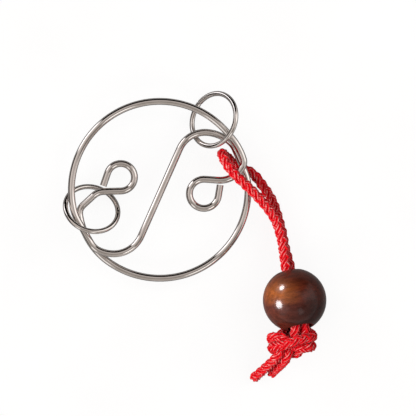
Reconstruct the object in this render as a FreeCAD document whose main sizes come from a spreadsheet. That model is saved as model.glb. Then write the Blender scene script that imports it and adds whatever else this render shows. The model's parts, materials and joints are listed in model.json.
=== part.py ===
"""A wire disentanglement puzzle: one long bent wire, two loose rings, and a knotted cord with a bead.

Millimetres. +Z is up, the object lies flat, and the origin is the centre of the big wire circle on
the plane that the object rests on.
"""

import FreeCAD, Part
import math
import os
import Sketcher

from FreeCAD import Placement, Rotation, Vector

DOC = FreeCAD.newDocument("wire_puzzle")
SHEET = DOC.addObject("Spreadsheet::Sheet", "Sizes")

# Driving dimensions. Angles are in degrees, lengths in millimetres.
SIZES = {
    # the long wire
    "frame_wire_diameter": 2.2,
    "strand_gap": 0.1,
    "frame_height": 6.4,
    "middle_x": 0.55,
    "diagonal_heading": 66.2,
    "ramp_slope": 5.5,
    # the two loose rings, bent from a thinner wire with a butt seam
    "ring_radius": 8.5,
    "ring_wire_diameter": 1.6,
    "seam_angle": 1.4,
    "seam_chamfer": 0.15,
    "right_ring_x": 17.1,
    "right_ring_y": 22.2,
    "right_ring_drop": 0.35,
    "right_ring_turn": 71.3,
    "right_ring_tilt": 38.0,
    "right_ring_seam": -64.0,
    "left_ring_x": -21.5,
    "left_ring_y": -6.0,
    "left_ring_drop": 0.45,
    "left_ring_turn": -24.0,
    "left_ring_tilt": 37.0,
    "left_ring_seam": -16.0,
    # the bead
    "bead_diameter": 20.0,
    "bore_diameter": 7.4,
    "rim_rounding": 0.6,
    "bead_x": 42.5,
    "bead_y": -34.7,
    "bore_heading": -79.0,
    "bore_tilt": 15.0,
    # the cord, doubled through the bead
    "cord_diameter": 3.4,
    "leg_spacing": 3.7,
    "leg_roll": 78.0,
    "bend_distance": 22.8,
    "bend_gap": 1.5,
    "over_height": 10.5,
    "under_height": 2.2,
    # the knot below the bead
    "knot_half_width": 6.3,
    "knot_half_length": 4.0,
    "knot_half_height": 5.2,
    "knot_distance": 14.9,
    "knot_drop": 1.8,
    "knot_shift": 2.8,
    "leg_end_distance": 13.2,
}

# The long wire's two halves, each followed from the middle of the diagonal to its eyelet:
# (bend, straight before it, bend radius, bend angle; a positive angle turns left).
LOWER_HALF = [
    ("top_turn", 14.25, 8.7, -70.9),
    ("top_shoulder", 0, 12.7, -35.1),
    ("right_corner", 0, 6.4, -27.5),
    ("right_entry", 8.15, 11.3, -19.3),
    ("big_circle", 0, 27.9, -126.3),
    ("left_exit", 0.35, 22.2, -48.7),
    ("neck_corner", 0, 3.4, -55.6),
    ("neck", 4.55, 4.85, -41.2),
    ("eyelet", 5.55, 4.35, 249.3),
    ("tip", 4.4, 0, 0),
]
UPPER_HALF = [
    ("bottom_turn", 15.9, 9.4, -64.4),
    ("bottom_shoulder", 0, 10.85, -26.5),
    ("left_corner", 0, 5.95, -35.3),
    ("left_entry", 8.0, 13.25, -17.3),
    ("big_circle", 0, 27.9, -152.4),
    ("right_exit", 2.1, 19.3, -23.0),
    ("neck_corner", 0, 3.1, -53.2),
    ("neck", 0.9, 7.8, -58.2),
    ("eyelet", 4.25, 4.6, 264.7),
    ("tip", 3.6, 0, 0),
]

# Where the cord's fold goes between its two legs: x, y, and how far up it is from the height of the
# return under the wires (0) to the height over them (1).
FOLD_PATH = [
    (35.6, -7.8, 0.58),
    (31.0, -2.2, 0.89),
    (26.8, 2.4, 1.0),
    (23.0, 7.4, 0.98),
    (20.3, 11.0, 0.75),
    (20.1, 11.7, 0.38),
    (22.0, 10.0, 0.08),
    (24.9, 7.2, 0.0),
    (31.0, 2.6, 0.0),
    (35.1, -2.4, 0.0),
    (37.3, -8.2, 0.0),
]

# The two free ends below the knot, each an arc through its root, its middle and its tip.
CORD_ENDS = {
    "cord_long_end": ((36.5, -52.9, 8.2), (33.3, -56.2, 4.9), (30.0, -59.5, 1.75)),
    "cord_short_end": ((39.95, -54.1, 6.0), (37.75, -56.05, 3.5), (35.3, -58.1, 1.75)),
}

# Two points closer than this are the same point.
SAME_POINT = 1e-6


def fill_sheet():
    """One row for each size: its name, and its value in a cell with that alias."""
    rows = dict(SIZES)
    for half, bends in (("lower", LOWER_HALF), ("upper", UPPER_HALF)):
        for bend, straight, radius, angle in bends:
            rows[f"{half}_{bend}_straight"] = straight
            rows[f"{half}_{bend}_radius"] = radius
            rows[f"{half}_{bend}_angle"] = angle
    for row, (name, value) in enumerate(rows.items(), start=1):
        SHEET.set(f"A{row}", name)
        SHEET.set(f"B{row}", str(value))
        SHEET.setAlias(f"B{row}", name)
    DOC.recompute()


def size(name):
    return float(getattr(SHEET, name))


def bind(item, **bindings):
    """Ties each property of a document object to an expression in the sheet's names."""
    for prop, expression in bindings.items():
        item.setExpression(prop.replace("__", "."), expression)


def heading(degrees):
    """The horizontal unit vector at an angle from +X, counter-clockwise."""
    return Vector(math.cos(math.radians(degrees)), math.sin(math.radians(degrees)), 0)


def turned(vector, degrees):
    return Rotation(Vector(0, 0, 1), degrees).multVec(vector)


def path_object(name, wire):
    """A hidden guide: the centre line that a round section is swept along."""
    guide = DOC.addObject("Part::Feature", name)
    guide.Shape = wire
    return guide


def swept_round(label, wire, diameter):
    """A round rod of the named diameter along a centre line."""
    guide = path_object(f"{label}_centre_line", wire)
    first = wire.OrderedEdges[0]
    start = first.valueAt(first.FirstParameter)
    direction = first.tangentAt(first.FirstParameter)
    if start.distanceToPoint(wire.OrderedVertexes[0].Point) > SAME_POINT:
        start = first.valueAt(first.LastParameter)
        direction = -first.tangentAt(first.LastParameter)
    section = DOC.addObject("Part::Circle", f"{label}_section")
    bind(section, Radius=f"Sizes.{diameter} / 2")
    section.Placement = Placement(start, Rotation(Vector(0, 0, 1), direction))
    rod = DOC.addObject("Part::Sweep", label)
    rod.Sections = [section]
    rod.Spine = (guide, [f"Edge{i + 1}" for i in range(len(wire.Edges))])
    rod.Solid = True
    rod.Frenet = False
    rod.Label = label
    return rod


# ---- the long wire ----


def bent_edges(start, direction, half, bends):
    """Straight lines and arcs, one bend after another, all at the start's own level."""
    edges = []
    point = start
    for bend, *_ in bends:
        straight = size(f"{half}_{bend}_straight")
        radius = size(f"{half}_{bend}_radius")
        angle = size(f"{half}_{bend}_angle")
        if straight:
            end = point + direction * straight
            edges.append(Part.LineSegment(point, end).toShape())
            point = end
        if radius:
            side = turned(direction, math.copysign(90, angle)) * radius
            centre = point + side
            middle = centre - turned(side, angle / 2)
            end = centre - turned(side, angle)
            edges.append(Part.Arc(point, middle, end).toShape())
            direction = turned(direction, angle)
            point = end
    return edges


def ramp_edges(low, high):
    """The diagonal: level at both ends, and climbing evenly between two wide bends."""
    run = Vector(high.x - low.x, high.y - low.y, 0)
    forward = run.normalize()
    up = Vector(0, 0, 1)
    length = math.hypot(high.x - low.x, high.y - low.y)
    rise = high.z - low.z
    slope = math.radians(size("ramp_slope"))
    tangent = length / 2 - rise / 2 / math.tan(slope)
    radius = tangent / math.tan(slope / 2)

    def on_bend(angle):
        return forward * (radius * math.sin(angle)) + up * (radius * (1 - math.cos(angle)))

    low_end = low + on_bend(slope)
    high_end = high - on_bend(slope)
    return [
        Part.Arc(low, low + on_bend(slope / 2), low_end).toShape(),
        Part.LineSegment(low_end, high_end).toShape(),
        Part.Arc(high_end, high - on_bend(slope / 2), high).toShape(),
    ]


def make_frame_wire():
    """One wire bent into a circle with an S through it; the half with the right eyelet lies on top."""
    level = (size("frame_wire_diameter") + size("strand_gap")) / 2
    height = size("frame_height")
    middle = Vector(size("middle_x"), 0, 0)
    up_diagonal = heading(size("diagonal_heading"))
    first_low = middle + up_diagonal * size("lower_top_turn_straight")
    first_high = middle - up_diagonal * size("upper_bottom_turn_straight")
    first_low.z = height - level
    first_high.z = height + level
    low_start = Vector(middle.x, middle.y, first_low.z)
    high_start = Vector(middle.x, middle.y, first_high.z)
    low_edges = bent_edges(low_start, up_diagonal, "lower", LOWER_HALF)[1:]
    high_edges = bent_edges(high_start, -up_diagonal, "upper", UPPER_HALF)[1:]
    ramp = ramp_edges(first_low, first_high)
    wire = Part.Wire(Part.__sortEdges__(low_edges[::-1] + ramp + high_edges))
    return swept_round("frame_wire", wire, "frame_wire_diameter")


# ---- the two loose rings ----


def origin_plane(body, role):
    return next(item for item in body.Origin.OriginFeatures if item.Role == role)


def new_sketch(body, name):
    sketch = body.newObject("Sketcher::SketchObject", name)
    sketch.AttachmentSupport = [(origin_plane(body, "XZ_Plane"), "")]
    sketch.MapMode = "FlatFace"
    return sketch


def add_named(sketch, name, constraint, expression):
    """A dimension of the sketch that follows the sheet."""
    index = sketch.addConstraint(constraint)
    sketch.renameConstraint(index, name)
    sketch.setExpression(f"Constraints.{name}", expression)


def make_ring(side):
    """A round wire ring whose two ends meet in a narrow chamfered seam."""
    body = DOC.addObject("PartDesign::Body", f"{side}_ring")
    body.Label = f"{side}_ring"
    sketch = new_sketch(body, f"{side}_ring_section")
    radius = size("ring_radius")
    section = Part.Circle(Vector(radius, 0, 0), Vector(0, 0, 1), size("ring_wire_diameter") / 2)
    sketch.addGeometry(section, False)
    sketch.addConstraint(Sketcher.Constraint("PointOnObject", 0, 3, -1))
    add_named(sketch, "reach", Sketcher.Constraint("DistanceX", -1, 1, 0, 3, radius), "Sizes.ring_radius")
    thickness = Sketcher.Constraint("Diameter", 0, size("ring_wire_diameter"))
    add_named(sketch, "thickness", thickness, "Sizes.ring_wire_diameter")
    turn = body.newObject("PartDesign::Revolution", f"{side}_ring_turn")
    turn.Profile = sketch
    turn.ReferenceAxis = (sketch, ["V_Axis"])
    bind(turn, Angle="360 - Sizes.seam_angle")
    DOC.recompute()
    cut_edges = [
        f"Edge{i + 1}"
        for i, edge in enumerate(turn.Shape.Edges)
        if isinstance(edge.Curve, Part.Circle) and edge.Curve.Radius < radius / 2
    ]
    chamfer = body.newObject("PartDesign::Chamfer", f"{side}_ring_ends")
    chamfer.Base = (turn, cut_edges)
    bind(chamfer, Size="Sizes.seam_chamfer")
    bind(
        body,
        Placement__Base__x=f"Sizes.{side}_ring_x",
        Placement__Base__y=f"Sizes.{side}_ring_y",
        Placement__Base__z=f"Sizes.frame_height - Sizes.{side}_ring_drop",
    )
    DOC.recompute()
    lean = Rotation(Vector(1, 0, 0), 180 - size(f"{side}_ring_tilt"))
    around = Rotation(Vector(0, 0, 1), size(f"{side}_ring_turn"))
    seam = Rotation(Vector(0, 0, 1), size(f"{side}_ring_seam"))
    body.Placement = Placement(body.Placement.Base, around.multiply(lean).multiply(seam))
    return body


# ---- the bead ----


def bore_line():
    """The bead's centre, the bore's direction towards the knot, and two directions square to it."""
    centre = Vector(size("bead_x"), size("bead_y"), size("bead_diameter") / 2)
    tilt = math.radians(size("bore_tilt"))
    flat = heading(size("bore_heading"))
    along = flat * math.cos(tilt) + Vector(0, 0, math.sin(tilt))
    level = turned(flat, 90)
    upward = along.cross(level) * -1
    if upward.z < 0:
        upward = upward * -1
    return centre, along, level, upward


def make_bead():
    """A ball with a bore along its Z axis, both rims rounded, turned to lie on the cord."""
    body = DOC.addObject("PartDesign::Body", "bead")
    body.Label = "bead"
    sketch = new_sketch(body, "bead_profile")
    ball = size("bead_diameter") / 2
    bore = size("bore_diameter") / 2
    rim = math.sqrt(ball**2 - bore**2)
    rim_angle = math.atan2(rim, bore)
    outline = Part.Circle(Vector(0, 0, 0), Vector(0, 0, 1), ball)
    sketch.addGeometry(Part.ArcOfCircle(outline, -rim_angle, rim_angle), False)
    sketch.addGeometry(Part.LineSegment(Vector(bore, rim, 0), Vector(bore, -rim, 0)), False)
    sketch.addConstraint(Sketcher.Constraint("Coincident", 0, 3, -1, 1))
    sketch.addConstraint(Sketcher.Constraint("Coincident", 0, 2, 1, 1))
    sketch.addConstraint(Sketcher.Constraint("Coincident", 0, 1, 1, 2))
    sketch.addConstraint(Sketcher.Constraint("Vertical", 1))
    add_named(sketch, "ball", Sketcher.Constraint("Radius", 0, ball), "Sizes.bead_diameter / 2")
    wall = Sketcher.Constraint("DistanceX", -1, 1, 1, 1, bore)
    add_named(sketch, "wall", wall, "Sizes.bore_diameter / 2")
    turn = body.newObject("PartDesign::Revolution", "bead_turn")
    turn.Profile = sketch
    turn.ReferenceAxis = (sketch, ["V_Axis"])
    turn.Angle = 360
    DOC.recompute()
    rims = [
        f"Edge{i + 1}"
        for i, edge in enumerate(turn.Shape.Edges)
        if isinstance(edge.Curve, Part.Circle) and abs(edge.Curve.Radius - bore) < SAME_POINT
    ]
    fillet = body.newObject("PartDesign::Fillet", "bead_rims")
    fillet.Base = (turn, rims)
    bind(fillet, Radius="Sizes.rim_rounding")
    bind(
        body,
        Placement__Base__x="Sizes.bead_x",
        Placement__Base__y="Sizes.bead_y",
        Placement__Base__z="Sizes.bead_diameter / 2",
    )
    DOC.recompute()
    along = bore_line()[1]
    body.Placement = Placement(body.Placement.Base, Rotation(Vector(0, 0, 1), along))
    return body


# ---- the cord ----


def leg_offset():
    """From the middle of the doubled cord to its back leg, square to the bore."""
    _, _, level, upward = bore_line()
    roll = math.radians(size("leg_roll"))
    return (level * math.cos(roll) - upward * math.sin(roll)) * (size("leg_spacing") / 2)


def bend_point():
    """Where the doubled cord bends, between the loop and the straight legs."""
    centre, along, _, _ = bore_line()
    return centre - along * size("bend_distance")


def make_cord_loop():
    """The cord's fold round both strands: over them, down in a wide turn, and back under."""
    under = size("under_height")
    climb = size("over_height") - under
    away = heading(size("bore_heading")) * -1
    clear = away * (size("bend_gap") / 2)
    front = bend_point() - leg_offset() + clear
    back = bend_point() + leg_offset() + clear
    fold = [Vector(x, y, under + climb * share) for x, y, share in FOLD_PATH]
    points = [front] + fold + [back]
    line = Part.BSplineCurve()
    line.interpolate(points)
    return swept_round("cord_loop", Part.Wire([line.toShape()]), "cord_diameter")


def knot_place():
    """The middle of the knot, a little to the left of the bore and below its line."""
    centre, along, level, _ = bore_line()
    aside = level * -size("knot_shift")
    return centre + along * size("knot_distance") + aside - Vector(0, 0, size("knot_drop"))


def make_cord_legs():
    """The two straight legs through the bead, and the overhand knot that stops it."""
    _, along, _, _ = bore_line()
    start = bend_point() + along * (size("bend_gap") / 2)
    pieces = []
    for name, side in (("front_leg", -1), ("back_leg", 1)):
        leg = DOC.addObject("Part::Cylinder", name)
        bind(leg, Radius="Sizes.cord_diameter / 2")
        bind(leg, Height="Sizes.bend_distance + Sizes.leg_end_distance - Sizes.bend_gap / 2")
        leg.Placement = Placement(start + leg_offset() * side, Rotation(Vector(0, 0, 1), along))
        pieces.append(leg)
    knot = DOC.addObject("Part::Ellipsoid", "knot")
    bind(knot, Radius1="Sizes.knot_half_height")
    bind(knot, Radius2="Sizes.knot_half_width")
    bind(knot, Radius3="Sizes.knot_half_length")
    knot.Placement = Placement(knot_place(), Rotation(Vector(0, 0, 1), size("bore_heading") + 90))
    pieces.append(knot)
    legs = DOC.addObject("Part::MultiFuse", "cord_legs_and_knot")
    legs.Shapes = pieces
    legs.Label = "cord_legs_and_knot"
    return legs


def make_cord_end(label):
    """One free end of the cord, drooping in an arc from the knot to the rest plane."""
    root, middle, tip = (Vector(*place) for place in CORD_ENDS[label])
    wire = Part.Wire([Part.Arc(root, middle, tip).toShape()])
    return swept_round(label, wire, "cord_diameter")


# ---- the whole puzzle ----


def check(sub_parts):
    """Stops before anything is written if a feature failed or a sub-part is not a sound solid."""
    for item in DOC.Objects:
        if {"Invalid", "Error"} & set(item.State):
            raise RuntimeError(f"{item.Name} did not build: {item.State}")
    for item in sub_parts:
        if item.Shape.isNull() or not item.Shape.isValid() or item.Shape.Volume <= 0:
            raise RuntimeError(f"{item.Label} is not a valid solid")
        if len(item.Shape.Solids) != 1:
            raise RuntimeError(f"{item.Label} is {len(item.Shape.Solids)} solids")


def main():
    fill_sheet()
    sub_parts = [make_frame_wire(), make_ring("right"), make_ring("left")]
    sub_parts += [make_bead(), make_cord_loop(), make_cord_legs()]
    sub_parts += [make_cord_end(label) for label in CORD_ENDS]
    DOC.recompute()
    check(sub_parts)
    os.makedirs("parts", exist_ok=True)
    for item in sub_parts:
        item.Shape.exportStep(f"parts/{item.Label}.step")


main()
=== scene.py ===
"""Looks for the wire disentanglement puzzle: plated wire, lacquered bead and a braided, knotted cord."""

import json
import math

import bpy
import numpy as np
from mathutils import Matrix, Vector


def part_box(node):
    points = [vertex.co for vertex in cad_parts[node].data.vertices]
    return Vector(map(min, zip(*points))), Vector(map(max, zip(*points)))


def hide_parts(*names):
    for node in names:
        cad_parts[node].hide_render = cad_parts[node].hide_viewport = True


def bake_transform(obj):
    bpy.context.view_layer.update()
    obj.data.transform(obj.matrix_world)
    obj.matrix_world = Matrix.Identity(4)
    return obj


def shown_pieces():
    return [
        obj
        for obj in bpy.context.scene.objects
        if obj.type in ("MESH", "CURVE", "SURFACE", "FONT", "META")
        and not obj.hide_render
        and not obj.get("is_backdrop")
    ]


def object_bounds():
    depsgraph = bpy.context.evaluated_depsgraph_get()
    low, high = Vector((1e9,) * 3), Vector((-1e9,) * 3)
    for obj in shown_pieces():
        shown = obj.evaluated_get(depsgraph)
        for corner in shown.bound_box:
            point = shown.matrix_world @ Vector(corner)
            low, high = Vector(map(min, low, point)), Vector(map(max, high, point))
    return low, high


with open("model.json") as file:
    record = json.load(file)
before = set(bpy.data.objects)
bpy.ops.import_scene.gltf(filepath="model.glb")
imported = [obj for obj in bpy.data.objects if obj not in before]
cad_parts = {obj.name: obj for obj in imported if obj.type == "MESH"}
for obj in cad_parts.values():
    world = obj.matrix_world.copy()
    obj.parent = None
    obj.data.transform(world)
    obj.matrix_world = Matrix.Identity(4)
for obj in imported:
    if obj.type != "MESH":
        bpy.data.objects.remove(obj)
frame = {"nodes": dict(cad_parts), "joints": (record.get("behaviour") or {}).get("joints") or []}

CAD_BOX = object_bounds()
MM = 0.001

# The braid: eight bands over two and under two, each of two yarns side by side, round a core.
CORD_RADIUS = 1.74 * MM
BRAID_PITCH = 11.0 * MM
BRAID_PHASE = 0.35
YARNS_PER_BAND = 2
YARN_GAP = 0.80 * MM
YARN_RADIUS = 0.45 * MM
BAND_SWING = 0.40 * MM
BAND_CROWN = 0.05
CORE_RADIUS = 1.0 * MM
YARN_STEP = 0.2 * MM
YARN_SIDES = 8
# A yarn's last two rings narrow to these shares; each yarn's UVs start this much further on.
YARN_TAPER = (0.55, 0.88)
YARN_UV_SHIFT = 13.1
# How far the cut ends of the yarns stand away, and over what length.
FRAY_WIDTH = 0.45 * MM
FRAY_LENGTH = 2.5 * MM

# The cord's course: the CAD cord's radius, and how the pair of legs rolls round the bore's line.
LEG_RADIUS = 1.7 * MM
ROLL_AT_BEND = 78.0
ROLL_AT_ENTRY = 64.0
ROLL_AT_EXIT = 35.0
ROLL_DRIFT = 6
BORE_HALF = 9.3 * MM
SEAM_BEFORE_CENTRE = 5.0 * MM
FOLD_STEP = 0.5 * MM
CORD_STEP = 0.4 * MM
CORNER_REACH = 0.9 * MM
# Where the fold bows away from the CAD line, in the frame's metres: place, reach and shift.
FOLD_BOWS = (
    ((0.0226, 0.0070, 0.0105), 6.0 * MM, (-0.00095, -0.00065, 0)),
    ((0.0285, 0.0048, 0.0022), 4.0 * MM, (0.0008, 0.0009, 0)),
)

# The knot: its middle in the frame's metres, the turn and half width of the loose knot, and its cord.
KNOT_PLACE = (0.0418, -0.0455, 0.0121)
KNOT_TURN = 115.0
KNOT_WIDTH = 2.2 * MM
KNOT_HEIGHT = 0.8 * MM
KNOT_CORD = 3.2 * MM
KNOT_SWELL = 1.06
KNOT_FROM = 11.0 * MM
TIP_EASING = 0.12
TIP_LENGTH = 9 * MM
KNOT_ROPE = 50.0 * MM
KNOT_EXTRA = 4.5 * MM
KNOT_PARTS = 51
LONG_END_EXTRA = 0.6 * MM
BEAD_KEEP_OUT = 11.4 * MM
# The loose knot's line is used between these shares of its length.
LOOSE_FROM = 0.13
LOOSE_TO = 0.97
# Tightening: the steps, the rounds in each, and the shares of the steps that pull, swell and gather.
KNOT_STEPS = 600
KNOT_ROUNDS = 3
PULL_SHARE = 0.75
SWELL_SHARE = 0.5
GATHER_SHARE = 0.8
# How hard each round corrects length, stiffness and contact, and how far it gathers the cord.
LENGTH_GAIN = 1.3
STIFF_GAIN = 1.0
CONTACT_GAIN = 0.6
GATHER = 0.004
# The cord starts at this share of its width, and grows.
THIN_START = 0.4
# Points closer along the cord than this many widths don't push each other.
NEIGHBOURS = 1.35
# Points three apart stay at least this many gaps between points apart.
STIFF_LENGTH = 2.72
# The first points of a strand don't move: how many, and where they sit from the bead's middle, in mm.
HELD = 4
HELD_PLACES = (5.0, 6.5, 8.0, 9.5)


def unit(v):
    v = np.asarray(v, float)
    return v / np.linalg.norm(v)


def joint(name):
    return next(j for j in frame["joints"] if j["name"] == name)


# ---------------------------------------------------------------- materials


class Nodes:
    """A short way to write a node material."""

    def __init__(self, name, world=False):
        self.owner = bpy.data.worlds.new(name) if world else bpy.data.materials.new(name)
        self.owner.use_nodes = True
        self.tree = self.owner.node_tree
        self.tree.nodes.clear()

    def add(self, kind, **settings):
        """A node; a setting is a property, or an input when its name matches one."""
        node = self.tree.nodes.new(kind)
        for key, value in settings.items():
            if hasattr(node, key):
                setattr(node, key, value)
            else:
                self.feed(node.inputs[key.replace("_", " ")], value)
        return node

    def feed(self, socket, value):
        if isinstance(value, bpy.types.NodeSocket):
            self.tree.links.new(value, socket)
        elif isinstance(value, (tuple, list)) and len(value) == 3 and len(socket.default_value) == 4:
            socket.default_value = (*value, 1.0)
        else:
            socket.default_value = value

    def maths(self, operation, a, b=None, c=None, clamp=False):
        node = self.add("ShaderNodeMath", operation=operation, use_clamp=clamp)
        for socket, value in zip(node.inputs, (a, b, c)):
            if value is not None:
                self.feed(socket, value)
        return node.outputs[0]

    def ramp(self, factor, *stops):
        """Stops are (position, colour); a number is a grey."""
        node = self.add("ShaderNodeValToRGB")
        elements = node.color_ramp.elements
        while len(elements) < len(stops):
            elements.new(0.5)
        for element, (position, colour) in zip(elements, stops):
            element.position = position
            grey = isinstance(colour, (int, float))
            element.color = (colour, colour, colour, 1) if grey else (*colour, 1)
        self.feed(node.inputs[0], factor)
        return node.outputs[0]

    def mix(self, factor, a, b, blend="MIX"):
        node = self.add("ShaderNodeMix", data_type="RGBA", blend_type=blend)
        self.feed(node.inputs[0], factor)
        self.feed(node.inputs[6], a)
        self.feed(node.inputs[7], b)
        return node.outputs[2]

    def noise(self, vector, scale, detail=3.0, roughness=0.5):
        node = self.add("ShaderNodeTexNoise", Scale=scale, Detail=detail, Roughness=roughness)
        self.feed(node.inputs["Vector"], vector)
        return node.outputs["Fac"]

    def stretched(self, vector, scale, rotation=(0, 0, 0), location=(0, 0, 0)):
        node = self.add("ShaderNodeMapping", Scale=scale, Rotation=rotation, Location=location)
        self.feed(node.inputs["Vector"], vector)
        return node.outputs[0]

    def bump(self, height, distance, strength):
        node = self.add("ShaderNodeBump", Distance=distance, Strength=strength)
        self.feed(node.inputs["Height"], height)
        return node.outputs[0]

    def surface(self, shader):
        out = self.add("ShaderNodeOutputMaterial")
        self.tree.links.new(shader.outputs[0], out.inputs[0])
        return self.owner


def plated_wire():
    """Bright nickel plate: slightly warm, a little cloudy, with fine pits."""
    m = Nodes("nickel_plated_wire")
    place = m.add("ShaderNodeTexCoord").outputs["Object"]
    cloud = m.noise(place, 260.0, 4.0)
    pits = m.noise(place, 2600.0, 2.0)
    colour = m.ramp(cloud, (0.3, (0.735, 0.685, 0.652)), (0.7, (0.865, 0.812, 0.782)))
    rough = m.ramp(m.noise(place, 90.0, 3.0), (0.35, 0.03), (0.75, 0.05))
    skin = m.add("ShaderNodeBsdfPrincipled", Base_Color=colour, Metallic=1.0, Roughness=rough)
    m.feed(skin.inputs["Normal"], m.bump(pits, 0.00001, 0.06))
    return m.surface(skin)


def lacquered_wood():
    """Dark stained wood under clear gloss, with an orange glow painted on its left, where the lamps light
    it, and shade painted on its lower right.
    """
    m = Nodes("lacquered_wood")
    place = m.add("ShaderNodeTexCoord").outputs["Object"]
    low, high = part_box("bead")
    centre = (low + high) / 2
    radius = (high.z - low.z) / 2
    local = m.add("ShaderNodeVectorMath", operation="SUBTRACT")
    m.feed(local.inputs[0], place)
    local.inputs[1].default_value = centre
    local = local.outputs[0]
    along = joint("bead_slide")["axis"]
    turn = Vector(along).to_track_quat("Z", "Y").inverted().to_euler()
    grain_place = m.stretched(local, (1 / radius,) * 3, rotation=turn)
    wavy = m.noise(grain_place, 2.2, 3.0)
    grain = m.noise(m.stretched(grain_place, (1.6, 9.0, 9.0)), 1.0, 6.0, 0.62)
    pores = m.noise(m.stretched(grain_place, (12.0, 60.0, 60.0)), 1.0, 2.0)

    def oval_patch(x, y, wide, tall):
        """1 in the middle of an oval patch seen from above, 0 at its edge and beyond."""
        scaled = (1 / radius / wide, 1 / radius / tall, 0.0)
        size = m.add("ShaderNodeVectorMath", operation="LENGTH")
        m.feed(size.inputs[0], m.stretched(local, scaled, location=(-x / wide, -y / tall, 0)))
        return m.maths("SUBTRACT", 1.0, size.outputs["Value"], clamp=True)

    # painted light: an orange glow on the bead's lamp-lit left, broken up by the wavy figure, and painted
    # shade darkening its lower right, away from the lamps; a redder patch sits at the upper right
    painted_glow_and_figure = m.maths("MULTIPLY_ADD", wavy, 0.55, m.maths("SUBTRACT", oval_patch(-0.50, 0.26, 0.90, 0.55), 0.32))
    ruddy = m.maths("MULTIPLY", oval_patch(0.45, 0.25, 0.75, 0.5), 0.9)
    shady = m.maths("MULTIPLY", oval_patch(0.45, -0.45, 1.0, 0.9), 0.8)
    stained_wood_with_painted_light = m.mix(ruddy, (0.050, 0.010, 0.005), (0.13, 0.020, 0.008))
    stained_wood_with_painted_light = m.mix(shady, stained_wood_with_painted_light, (0.036, 0.010, 0.009))
    stained_wood_with_painted_light = m.mix(m.ramp(painted_glow_and_figure, (0.05, 0.0), (0.75, 1.0)), stained_wood_with_painted_light, (0.145, 0.036, 0.006))
    streak = m.ramp(grain, (0.34, 0.55), (0.62, 1.12))
    colour = m.mix(1.0, stained_wood_with_painted_light, streak, "MULTIPLY")
    dots = m.ramp(pores, (0.30, 0.45), (0.40, 1.0))
    colour = m.mix(1.0, colour, dots, "MULTIPLY")
    skin = m.add(
        "ShaderNodeBsdfPrincipled",
        Base_Color=colour,
        Roughness=0.42,
        Coat_Weight=1.0,
        Coat_Roughness=0.155,
        Coat_IOR=1.30,
        Specular_IOR_Level=0.05,
    )
    m.feed(skin.inputs["Normal"], m.bump(grain, 0.00006, 0.25))
    m.feed(skin.inputs["Coat Normal"], m.bump(m.noise(grain_place, 3.0, 2.0), 0.00004, 0.06))
    return m.surface(skin)


def braided_yarn():
    """Red fibres that run along each yarn, with a glint painted pink on each yarn's outer side and shade
    painted darker at its flanks and inside; the yarn's own UVs say where along and round it.
    """
    m = Nodes("red_cord")
    uv = m.add("ShaderNodeUVMap", uv_map="yarn").outputs[0]
    fibres = m.noise(m.stretched(uv, (0.7, 14.0, 1.0)), 1.0, 4.0, 0.65)
    slubs = m.noise(m.stretched(uv, (1.4, 2.0, 1.0)), 1.0, 2.0)
    split = m.add("ShaderNodeSeparateXYZ")
    m.feed(split.inputs[0], uv)
    # 1 on the yarn's outer side, 0 at its flanks and inside, where yarns press together: it places the
    # painted glint and the painted shade
    painted_glint_and_shade = m.maths("SINE", m.maths("MULTIPLY", split.outputs[1], 2 * math.pi))
    wander = m.maths("MULTIPLY_ADD", fibres, 0.55, m.maths("MULTIPLY_ADD", slubs, 0.5, -0.52))
    # painted light in the base colour: the darker red at the low end is painted shade between yarns, and
    # the pink top stop is a painted highlight, broken up by fibres and slubs
    tone = m.ramp(
        m.maths("MULTIPLY", m.maths("ADD", painted_glint_and_shade, wander), 0.8),
        (0.0, (0.56, 0.001, 0.003)),
        (0.34, (0.72, 0.003, 0.009)),
        (0.74, (0.60, 0.009, 0.018)),
        (0.89, (0.82, 0.34, 0.33)),
    )
    skin = m.add(
        "ShaderNodeBsdfPrincipled",
        Base_Color=tone,
        Roughness=0.36,
        Specular_IOR_Level=0.06,
    )
    m.feed(skin.inputs["Normal"], m.bump(fibres, 0.00012, 0.8))
    return m.surface(skin)


def put(obj, material):
    obj.data.materials.clear()
    obj.data.materials.append(material)


# ---------------------------------------------------------------- curves


def resample(path, step):
    lengths = np.r_[0, np.cumsum(np.linalg.norm(np.diff(path, axis=0), axis=1))]
    count = max(4, int(round(lengths[-1] / step)) + 1)
    at = np.linspace(0, lengths[-1], count)
    return np.stack([np.interp(at, lengths, path[:, k]) for k in range(3)], 1)


def smoothed(path, step, reach):
    """The path with corners rounded over about the given length; both ends stay where they are."""
    path = resample(path, step)
    spread = reach / step
    half = int(3 * spread)
    kernel = np.exp(-0.5 * (np.arange(-half, half + 1) / spread) ** 2)
    kernel /= kernel.sum()
    before = 2 * path[0] - path[1 : half + 1][::-1]
    after = 2 * path[-1] - path[-half - 1 : -1][::-1]
    padded = np.vstack([before, path, after])
    return np.stack([np.convolve(padded[:, k], kernel, "valid") for k in range(3)], 1)


def tangents(path):
    t = np.gradient(path, axis=0)
    return t / np.linalg.norm(t, axis=1)[:, None]


def carried(path, first):
    """A direction square to the path, carried along it without twisting."""
    t = tangents(path)
    out = np.zeros_like(path)
    n = unit(first - t[0] * np.dot(first, t[0]))
    for i, direction in enumerate(t):
        n = unit(n - direction * np.dot(n, direction))
        out[i] = n
    return out


def mesh_points(node):
    mesh = frame["nodes"][node].data
    co = np.zeros(len(mesh.vertices) * 3)
    mesh.vertices.foreach_get("co", co)
    ends = np.zeros(len(mesh.edges) * 2, int)
    mesh.edges.foreach_get("vertices", ends)
    return co.reshape(-1, 3), ends.reshape(-1, 2)


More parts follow.
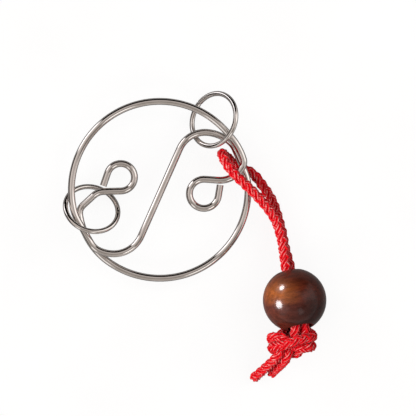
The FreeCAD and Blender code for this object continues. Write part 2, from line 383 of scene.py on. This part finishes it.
def fold_line():
    """The middle line of the CAD cord fold, from its upper end to its lower end.

    It walks through the solid in small steps and takes the middle of each slice.
    """
    points, edges = mesh_points("cord_loop")
    bend = np.array(joint("cord_bend")["pos_m"])
    along = -unit(joint("bead_slide")["axis"])
    flat = unit([along[0], along[1], 0])
    near = points[(points - bend) @ flat > -1.0 * MM]
    middle = (near[:, 2].min() + near[:, 2].max()) / 2
    ends = [near[near[:, 2] > middle].mean(0), near[near[:, 2] <= middle].mean(0)]
    here, direction = ends[0], -flat
    line = [here]
    a, b = points[edges[:, 0]], points[edges[:, 1]]
    most_steps = 400
    for _ in range(most_steps):
        ahead = here + direction * FOLD_STEP
        # the edges near the step that cross its plane, and where they cross it
        da, db = (a - ahead) @ direction, (b - ahead) @ direction
        cut = (da * db < 0) & (np.linalg.norm(a - ahead, axis=1) < 2.5 * LEG_RADIUS)
        share = (da / (da - db + 1e-30))[cut][:, None]
        ring = a[cut] + (b[cut] - a[cut]) * share
        ring = ring[np.linalg.norm(ring - ahead, axis=1) < 1.5 * LEG_RADIUS]
        if len(ring) < 6:
            break
        # each point of the slice counts by the share of the outline it stands for;
        # the slice is measured against any direction that the fold never takes
        side = unit(np.cross(direction, [0.31, 0.52, 0.79]))
        up = np.cross(direction, side)
        centre = ring.mean(0)
        for _ in range(3):
            angle = np.arctan2((ring - centre) @ up, (ring - centre) @ side)
            order = np.argsort(angle)
            gap = np.diff(np.r_[angle[order], angle[order][0] + 2 * math.pi])
            weight = gap + np.roll(gap, 1)
            centre = (ring[order] * weight[:, None]).sum(0) / weight.sum()
        direction = unit(centre - here)
        here = centre
        line.append(here)
        if np.linalg.norm(here - ends[1]) < 0.8 * MM:
            break
    return np.array(line + [ends[1]])


# ---------------------------------------------------------------- the knot


def overhand_start(knot, axis, turn):
    """A loose overhand knot in one line: the polynomial trefoil, turned about its own axis."""
    t = np.linspace(-1.95, 1.95, 300)
    x = -(t**3 - 3 * t) * KNOT_WIDTH
    y = (t**4 - 4 * t**2 + 1) * KNOT_WIDTH
    z = (t**5 - 10 * t) * KNOT_HEIGHT
    u = unit(np.cross(axis, [0, 0, 1.0]))
    v = np.cross(axis, u)
    c, s = math.cos(math.radians(turn)), math.sin(math.radians(turn))
    return knot + np.outer(x, u * c + v * s) + np.outer(y, v * c - u * s) + np.outer(z, axis)


def doubled(line, first, last, half):
    """Two lines either side of one, their offset turning from the first direction to the last."""
    line = resample(line, 0.25 * MM)
    t = tangents(line)
    n = carried(line, first)
    want = unit(last - t[-1] * np.dot(last, t[-1]))
    angle = math.atan2(np.dot(np.cross(n[-1], want), t[-1]), np.dot(n[-1], want))
    share = np.linspace(0, angle, len(line))[:, None]
    offset = (n * np.cos(share) + np.cross(t, n) * np.sin(share)) * half
    return line + offset, line - offset


def tighten(strands, lengths, bead, knot):
    """Pulls both strands tight together: length, stiffness and contact, step after step.

    strands are two arrays of points, of which the first few and the last one stay put.
    """
    count = [len(s) for s in strands]
    p = np.round(np.vstack(strands), 9)
    which = np.repeat([0, 1], count)
    order = np.r_[np.arange(count[0]), np.arange(count[1])]
    total = len(p)
    fixed = (order < HELD) | (order == np.repeat(count, count) - 1)
    home = p.copy()
    start = [np.linalg.norm(np.diff(s, axis=0), axis=1).sum() for s in strands]
    seg = np.array([i for i in range(total - 1) if which[i] == which[i + 1]])
    stiff = np.array([i for i in range(total - 3) if which[i] == which[i + 3]])
    first, second = np.triu_indices(total, 1)
    same = which[first] == which[second]

    def push(a, b, change, power, gain):
        """The move that each point gets when point a goes by the change and point b against it."""
        moved = np.zeros_like(p)
        hits = np.zeros(total)
        np.add.at(moved, a, change)
        np.add.at(moved, b, -change)
        np.add.at(hits, a, 1)
        np.add.at(hits, b, 1)
        return moved / (np.maximum(hits, 1) ** power)[:, None] * gain

    for step in range(KNOT_STEPS):
        pulled = min(1.0, step / (KNOT_STEPS * PULL_SHARE))
        now = [start[k] * (1 - pulled) + lengths[k] * pulled for k in (0, 1)]
        gap = np.array([now[k] / (count[k] - 1) for k in (0, 1)])
        swollen = min(1, step / (KNOT_STEPS * SWELL_SHARE))
        wide = KNOT_CORD * (THIN_START + (1 - THIN_START) * swollen)
        apart = ~(same & ((second - first) * gap[which[first]] < wide * NEIGHBOURS))
        for _ in range(KNOT_ROUNDS):
            d = p[seg + 1] - p[seg]
            size = np.linalg.norm(d, axis=1) + 1e-12
            p = p + push(seg, seg + 1, d * ((size - gap[which[seg]]) / size)[:, None] * 0.5, 1, LENGTH_GAIN)
            d = p[stiff + 3] - p[stiff]
            size = np.linalg.norm(d, axis=1) + 1e-12
            short = np.minimum(0, size - STIFF_LENGTH * gap[which[stiff]]) / size
            p = p + push(stiff, stiff + 3, d * short[:, None] * 0.25, 1, STIFF_GAIN)
            d = p[second] - p[first]
            square = (d * d).sum(1)
            hit = apart & (square < wide * wide)
            if hit.any():
                size = np.sqrt(square[hit]) + 1e-12
                change = d[hit] * ((size - wide) / size)[:, None] * 0.5
                p = p + push(first[hit], second[hit], change, 0.5, CONTACT_GAIN)
            if step < KNOT_STEPS * GATHER_SHARE:
                p[~fixed] += (knot - p[~fixed]) * GATHER
            out = p - bead
            size = np.linalg.norm(out, axis=1)
            inside = (size < BEAD_KEEP_OUT) & (order > HELD + 2)
            p[inside] = bead + out[inside] / size[inside][:, None] * BEAD_KEEP_OUT
            p[:, 2] = np.maximum(p[:, 2], LEG_RADIUS)
            p[fixed] = home[fixed]
            # rounded to a nanometre, so that every machine ties the same knot
            p = np.round(p, 9)
    return p[which == 0], p[which == 1]


def bowed(line, around, reach, shift):
    """The line, pushed aside near a place."""
    near = np.exp(-(((line - np.array(around)) ** 2).sum(1)) / reach**2)
    return line + near[:, None] * np.array(shift)


def end_line(node):
    """The middle line of a CAD cord end: its root, middle and tip, from the slices of its mesh."""
    points, _ = mesh_points(node)
    spread = points - points.mean(0)
    axis = np.linalg.svd(spread, full_matrices=False)[2][0]
    if axis @ np.array([0.0, 0.0, 1.0]) > 0:
        axis = -axis
    at = spread @ axis
    low, high = at.min(), at.max()
    places = []
    for share in (0.0, 1.0):
        edge = low + (high - low) * share
        places.append(points[np.abs(at - edge) < 0.9 * MM].mean(0))
    return np.array([places[0], points.mean(0), places[1]])


# ---------------------------------------------------------------- the cord's course


def bore():
    """The bead's middle, and the direction of its bore, towards the knot."""
    low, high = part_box("bead")
    return np.array((low + high) / 2), -unit(joint("bead_slide")["axis"])


def sideways(along, roll):
    """The direction from the middle of the pair of legs to the lower leg, square to the bore."""
    flat = unit([along[0], along[1], 0])
    level = np.array([-flat[1], flat[0], 0.0])
    upward = unit(np.cross(level, along))
    if upward[2] < 0:
        upward = -upward
    angle = math.radians(roll)
    return level * math.cos(angle) - upward * math.sin(angle)


def leg_lines(bead, along):
    """The straight legs from the bend into the bead: lower leg, upper leg and half their spacing."""
    bend = -np.linalg.norm(np.array(joint("cord_bend")["pos_m"]) - bead)
    legs, _ = mesh_points("cord_legs_and_knot")
    legs = legs - bead
    legs = legs[np.abs(legs @ along - bend) < 1.0 * MM]
    from_bore_line = np.linalg.norm(legs - np.outer(legs @ along, along), axis=1)
    half = from_bore_line.max() - LEG_RADIUS
    stations = [
        (bend + 0.8 * MM, ROLL_AT_BEND),
        (bend + 4 * MM, ROLL_AT_BEND + ROLL_DRIFT),
        (-BORE_HALF - 3 * MM, ROLL_AT_ENTRY + ROLL_DRIFT),
        (-BORE_HALF, ROLL_AT_ENTRY),
        (-3 * MM, (ROLL_AT_ENTRY + ROLL_AT_EXIT) / 2),
        (3 * MM, ROLL_AT_EXIT),
    ]
    lower = np.array([bead + along * at + sideways(along, roll) * half for at, roll in stations])
    upper = np.array([bead + along * at - sideways(along, roll) * half for at, roll in stations])
    return lower, upper, half


def tied_strands(bead, along, knot_half):
    """Both strands from inside the bead through the knot to their cut ends: the lower, then the upper."""
    long_end, short_end = end_line("cord_long_end"), end_line("cord_short_end")
    long_end[-1] += unit(long_end[-1] - long_end[0]) * [LONG_END_EXTRA, LONG_END_EXTRA, 0]
    knot = np.array(KNOT_PLACE)
    axis = unit((long_end[0] + short_end[0]) / 2 - (bead + along * 9.5 * MM))
    head = np.array([bead + along * x * MM for x in np.linspace(6, 10, 6)])
    loose = np.vstack([head, overhand_start(knot, axis, KNOT_TURN)])
    offset = sideways(along, ROLL_AT_EXIT) * knot_half
    near, far = doubled(loose, offset, long_end[0] - short_end[0], 0.7 * MM)
    strands = []
    for line, side, tail in ((near, 1, long_end), (far, -1, short_end)):
        start = np.array([bead + along * x * MM + offset * side for x in HELD_PLACES])
        first, last = int(len(line) * LOOSE_FROM), int(len(line) * LOOSE_TO)
        strand = np.vstack([start, line[first:last], tail])
        size = np.linalg.norm(np.diff(strand, axis=0), axis=1).sum()
        strands.append(resample(strand, size / KNOT_PARTS))
    return tighten(strands, (KNOT_ROPE + KNOT_EXTRA, KNOT_ROPE), bead, knot)


def cord_path():
    """The whole cord's middle line, from its short end through the knot, the bead and the fold and back."""
    bead, along = bore()
    fold = fold_line()
    for place, reach, shift in FOLD_BOWS:
        fold = bowed(fold, place, reach, shift)
    knot_half = np.linalg.norm(fold[0] - fold[-1]) / 2
    # the ends of the fold's line are rough; the legs take over from them
    fold = fold[3:-2]
    lower_leg, upper_leg, half = leg_lines(bead, along)
    tied = tied_strands(bead, along, knot_half)
    # inside the bore the legs lie closer together than where the knot was tied
    for strand in tied:
        for i, share in enumerate((1, 1, 1, 0.8, 0.4, 0.15)):
            on_line = bead + along * ((strand[i] - bead) @ along)
            strand[i] = on_line + (strand[i] - on_line) * (1 - share * (1 - half / knot_half))
    lower = np.vstack([lower_leg, tied[0]])
    upper = np.vstack([upper_leg, tied[1]])
    return np.vstack([upper[::-1], fold, lower])


# ---------------------------------------------------------------- the braid


def braid(path, radius):
    """The yarns of a braided cord: for each, its middle line, outward direction, radius and arc length.

    The last one is the core, which only fills the middle.
    """
    side = carried(path, np.array([0.2, 0.3, 1.0]))
    across = np.cross(tangents(path), side)
    at = np.r_[0, np.cumsum(np.linalg.norm(np.diff(path, axis=0), axis=1))]
    middle = CORD_RADIUS - YARN_RADIUS - BAND_SWING
    yarns = []
    for turn_way in (1, -1):
        for band in range(4):
            beat = turn_way * 8 * at / BRAID_PITCH + 2 * band - 0.5
            lift = turn_way * BAND_SWING * np.cos(math.pi / 2 * beat)
            for place in range(YARNS_PER_BAND):
                aside = (place - (YARNS_PER_BAND - 1) / 2) * YARN_GAP
                angle = turn_way * 2 * math.pi * at / BRAID_PITCH + band * math.pi / 2 + BRAID_PHASE
                angle = angle + aside / middle
                crown = -abs(aside) * BAND_CROWN
                out = side * np.cos(angle)[:, None] + across * np.sin(angle)[:, None]
                line = path + out * ((middle + lift + crown) * radius)[:, None]
                yarns.append((line, out, YARN_RADIUS * radius, at))
    yarns.append((path, side, CORE_RADIUS * radius, at))
    return yarns


def frayed(yarns):
    """The same yarns, each standing away from the braid by its own amount near the cord's two cut ends."""
    loose = []
    for number, (line, out, radius, at) in enumerate(yarns):
        from_tip = np.minimum(at, at[-1] - at)
        opening = np.clip(1 - from_tip / FRAY_LENGTH, 0, 1) ** 2
        own = 0.5 + 0.5 * math.sin(number * 2.4)
        loose.append((line + out * (opening * FRAY_WIDTH * own)[:, None], out, radius, at))
    return loose


def yarn_tube(line, out, radius, at, number):
    """Vertices, faces and UVs of one yarn; it narrows to a small flat cap at both ends."""
    t = tangents(line)
    radius = radius.copy()
    radius[[0, -1]] *= YARN_TAPER[0]
    radius[[1, -2]] *= YARN_TAPER[1]
    flat = np.cross(t, out)
    flat /= np.linalg.norm(flat, axis=1)[:, None]
    up = np.cross(flat, t)
    around = np.linspace(0, 2 * math.pi, YARN_SIDES, endpoint=False)
    count = len(line)
    wide = radius[:, None, None]
    ring = (
        flat[:, None, :] * np.cos(around)[None, :, None] * wide
        + up[:, None, :] * np.sin(around)[None, :, None] * wide
    )
    points = (line[:, None, :] + ring).reshape(-1, 3)
    i, k = np.meshgrid(np.arange(count - 1), np.arange(YARN_SIDES), indexing="ij")
    following = (k + 1) % YARN_SIDES
    quads = np.stack(
        [
            i * YARN_SIDES + k,
            i * YARN_SIDES + following,
            (i + 1) * YARN_SIDES + following,
            (i + 1) * YARN_SIDES + k,
        ],
        -1,
    ).reshape(-1, 4)
    u = np.stack([at[i] / MM, at[i] / MM, at[i + 1] / MM, at[i + 1] / MM], -1)
    v = np.stack([k, k + 1, k + 1, k], -1) / YARN_SIDES
    uvs = np.stack([u + number * YARN_UV_SHIFT, v], -1).reshape(-1, 2)
    # each eight-sided end is closed by three quads
    cap = np.array([(3, 2, 1, 0), (7, 4, 3, 0), (6, 5, 4, 7)])
    end = (count - 1) * YARN_SIDES + cap[:, ::-1]
    cap_uvs = [(at[row] / MM + number * YARN_UV_SHIFT, 0.05) for row in (0, -1) for _ in cap.ravel()]
    return points, np.vstack([quads, cap, end]), np.vstack([uvs, cap_uvs])


def cord_mesh(name, yarns, start, stop, material):
    """One piece of the cord, from one place along the path to another."""
    points, quads, uvs, base = [], [], [], 0
    total = len(yarns[0][0])
    for number, (line, out, radius, at) in enumerate(yarns):
        # at the cord's own ends the yarns are cut to slightly different lengths
        ragged = number * 5 % 4
        first = ragged if start == 0 else start
        last = total - ragged if stop == total else stop
        keep = slice(first, last)
        p, q, uv = yarn_tube(line[keep], out[keep], radius[keep], at[keep], number)
        points.append(p)
        quads.append(q + base)
        uvs.append(uv)
        base += len(p)
    points, quads, uvs = np.vstack(points), np.vstack(quads), np.vstack(uvs)
    mesh = bpy.data.meshes.new(name)
    mesh.vertices.add(len(points))
    mesh.vertices.foreach_set("co", points.astype(np.float32).ravel())
    mesh.loops.add(len(quads) * 4)
    mesh.loops.foreach_set("vertex_index", quads.astype(np.int32).ravel())
    mesh.polygons.add(len(quads))
    mesh.polygons.foreach_set("loop_start", np.arange(len(quads), dtype=np.int32) * 4)
    mesh.polygons.foreach_set("use_smooth", np.ones(len(quads), bool))
    mesh.update(calc_edges=True)
    layer = mesh.uv_layers.new(name="yarn")
    layer.data.foreach_set("uv", uvs.astype(np.float32).ravel())
    mesh.validate()
    obj = bpy.data.objects.new(name, mesh)
    bpy.context.scene.collection.objects.link(obj)
    put(obj, material)
    return obj


def thickness(at_bore, from_tip):
    """How thick the cord is at each point, as a share: squeezed in the knot, full again at its tips."""
    knotted = KNOT_CORD * KNOT_SWELL / (2 * CORD_RADIUS)
    share = np.where(at_bore > KNOT_FROM, knotted, 1.0)
    reach = 10
    kernel = np.ones(2 * reach + 1) / (2 * reach + 1)
    share = np.convolve(np.pad(share, reach, mode="edge"), kernel, "valid")
    eased = np.maximum(share, 1 - TIP_EASING * from_tip / TIP_LENGTH)
    return np.where(from_tip < TIP_LENGTH, eased, share)


def make_cord():
    """The braided cord in three pieces, cut inside the bead; the CAD cord's parts are hidden."""
    bead, along = bore()
    path = smoothed(cord_path(), CORD_STEP, CORNER_REACH)
    fine = resample(path, YARN_STEP)
    at_bore = (fine - bead) @ along
    index = np.arange(len(fine))
    from_tip = np.minimum(index, len(fine) - 1 - index) * YARN_STEP
    yarns = frayed(braid(fine, thickness(at_bore, from_tip)))
    turn = np.argmax(fine[:, 1])
    in_fold = at_bore < -SEAM_BEFORE_CENTRE
    short_seam = np.where(in_fold & (index < turn))[0][0]
    long_seam = np.where(in_fold & (index > turn))[0][-1]
    yarn = braided_yarn()
    short = cord_mesh("cord_short_strand", yarns, 0, short_seam + 1, yarn)
    fold = cord_mesh("cord_fold", yarns, short_seam, long_seam + 1, yarn)
    long = cord_mesh("cord_long_strand", yarns, long_seam, len(fine), yarn)
    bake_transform(fold)
    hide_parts("cord_loop")
    for piece in (short, long):
        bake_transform(piece)
    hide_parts("cord_short_end", "cord_legs_and_knot")
    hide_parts("cord_long_end")


# ---------------------------------------------------------------- stage, light and camera


def make_floor():
    """A pale glowing table, like a light pad, so shadows on it stay faint."""
    m = Nodes("pale_floor")
    place = m.add("ShaderNodeTexCoord").outputs["Object"]
    tone = m.ramp(m.noise(place, 30.0, 2.0), (0.3, 0.22), (0.7, 0.25))
    skin = m.add("ShaderNodeBsdfPrincipled", Base_Color=tone, Roughness=0.8, Specular_IOR_Level=0.0)
    m.feed(skin.inputs["Emission Color"], (1.0, 1.0, 1.0))
    seen = m.add("ShaderNodeLightPath").outputs["Is Camera Ray"]
    m.feed(skin.inputs["Emission Strength"], m.maths("MULTIPLY_ADD", seen, 0.76, 0.12))
    material = m.surface(skin)
    mesh = bpy.data.meshes.new("floor")
    reach = 3.0
    level = -0.2 * MM
    corners = [(x * reach, y * reach, level) for x, y in ((-1, -1), (1, -1), (1, 1), (-1, 1))]
    mesh.from_pydata(corners, [], [(0, 1, 2, 3)])
    floor = bpy.data.objects.new("floor", mesh)
    bpy.context.scene.collection.objects.link(floor)
    put(floor, material)
    floor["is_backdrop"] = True


def direction(azimuth, elevation):
    a, e = math.radians(azimuth), math.radians(elevation)
    return Vector((math.cos(a) * math.cos(e), math.sin(a) * math.cos(e), math.sin(e)))


def softbox(name, azimuth, elevation, distance, width, watts, colour):
    """A round soft light that looks at the middle of the puzzle; azimuth is counter-clockwise from +X."""
    low, high = CAD_BOX
    target = (low + high) / 2
    lamp = bpy.data.lights.new(name, "AREA")
    lamp.shape = "DISK"
    lamp.size = width
    lamp.energy = watts
    lamp.color = colour
    obj = bpy.data.objects.new(name, lamp)
    toward = direction(azimuth, elevation)
    obj.location = target + toward * distance
    obj.rotation_euler = toward.to_track_quat("Z", "Y").to_euler()
    bpy.context.scene.collection.objects.link(obj)
    return obj


# What the polished wires mirror: azimuth, half width, lowest and highest elevation, softness, colour.
ROOM_PATCHES = (
    (92, 42, -12, 52, 5, (0.004, 0.0035, 0.003)),
    (188, 34, -8, 30, 5, (0.02, 0.018, 0.016)),
    (320, 17, 44, 66, 6, (0.03, 0.026, 0.024)),
    (270, 60, 12, 44, 8, (0.38, 0.35, 0.32)),
    (266, 62, 52, 84, 6, (0.26, 0.24, 0.22)),
    (143, 10, -4, 36, 4, (2.0, 2.0, 2.05)),
    (298, 10, 34, 56, 5, (1.6, 1.58, 1.55)),
    (20, 16, 10, 60, 6, (1.3, 1.28, 1.25)),
    (228, 8, 15, 55, 4, (1.0, 0.98, 0.96)),
)


def make_world():
    """A warm grey room with a few dark and bright panels, which the polished wires mirror as lines."""
    w = Nodes("studio", world=True)
    ray = w.add("ShaderNodeTexCoord").outputs["Generated"]
    split = w.add("ShaderNodeSeparateXYZ")
    w.feed(split.inputs[0], ray)
    x, y, z = split.outputs
    colour = w.ramp(
        z,
        (0.0, (0.80, 0.78, 0.76)),
        (0.3, (0.72, 0.67, 0.64)),
        (0.75, (0.80, 0.745, 0.71)),
        (1.0, (0.52, 0.48, 0.455)),
    )
    bands = w.noise(w.stretched(ray, (1.5, 1.5, 16.0)), 1.0, 2.0)
    colour = w.mix(1.0, colour, w.ramp(bands, (0.35, 0.62), (0.65, 1.3)), "MULTIPLY")
    flat = w.maths("SQRT", w.maths("SUBTRACT", 1.0001, w.maths("MULTIPLY", z, z)))

    def fade(value, low, high):
        node = w.add("ShaderNodeMapRange", interpolation_type="SMOOTHSTEP")
        for socket, setting in zip(node.inputs, (value, low, high, 0.0, 1.0)):
            w.feed(socket, setting)
        return node.outputs[0]

    for azimuth, half, low, high, soft, tone in ROOM_PATCHES:
        a = math.radians(azimuth)
        facing = w.maths("MULTIPLY_ADD", y, math.sin(a), w.maths("MULTIPLY", x, math.cos(a)))
        facing = w.maths("DIVIDE", facing, flat)
        edge = [math.cos(math.radians(half + s)) for s in (soft, -soft)]
        inside = fade(facing, *edge)
        rise = fade(z, *(math.sin(math.radians(low + s)) for s in (-soft / 2, soft / 2)))
        fall = fade(z, *(math.sin(math.radians(high + s)) for s in (soft / 2, -soft / 2)))
        colour = w.mix(w.maths("MULTIPLY", inside, w.maths("MULTIPLY", rise, fall)), colour, tone)
    shade = w.add("ShaderNodeBackground", Strength=1.0)
    w.feed(shade.inputs["Color"], colour)
    out = w.add("ShaderNodeOutputWorld")
    w.tree.links.new(shade.outputs[0], out.inputs[0])
    bpy.context.scene.world = w.owner


def make_lights():
    """Windows that shine in the lacquer, and a soft lamp over the cord; the wires mirror only the room."""
    bead = bpy.data.collections.new("lit_bead")
    bead.objects.link(frame["nodes"]["bead"])
    cord = bpy.data.collections.new("lit_cord")
    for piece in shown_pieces():
        if piece.name.startswith("cord_"):
            cord.objects.link(piece)
    for lit, *lamp in (
        (bead, "window_large", 197, 29, 0.6, 0.26, 8.5, (0.93, 0.96, 1.0)),
        (bead, "window_small", 135, 21, 0.6, 0.18, 4.4, (0.95, 0.97, 1.0)),
        (cord, "canopy", 190, 56, 0.6, 0.30, 3.9, (1.0, 0.98, 0.96)),
    ):
        softbox(*lamp).light_linking.receiver_collection = lit
    # brightens the bead's left side without a highlight of its own
    fill = softbox("side_fill", 176, 6, 0.6, 0.30, 2.5, (1.0, 0.98, 0.96))
    fill.light_linking.receiver_collection = bead
    fill.visible_glossy = False


def make_camera():
    """Straight above, with a long lens: the puzzle takes up 131 mm of the frame at the wires' height."""
    data = bpy.data.cameras.new("overhead")
    height, seen = 0.9, 0.1314
    wires_low, wires_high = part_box("frame_wire")
    level = (wires_low.z + wires_high.z) / 2
    data.lens = data.sensor_width * (height - level) / seen
    data.clip_start = 0.01
    camera = bpy.data.objects.new("overhead", data)
    camera.location = (0.01525, -0.0057, height)
    bpy.context.scene.collection.objects.link(camera)
    bpy.context.scene.camera = camera


def main():
    plating = plated_wire()
    for node in ("frame_wire", "right_ring", "left_ring"):
        put(frame["nodes"][node], plating)
    put(frame["nodes"]["bead"], lacquered_wood())
    make_cord()
    make_floor()
    make_world()
    make_lights()
    make_camera()
    bpy.context.scene.view_settings.view_transform = "Standard"


main()
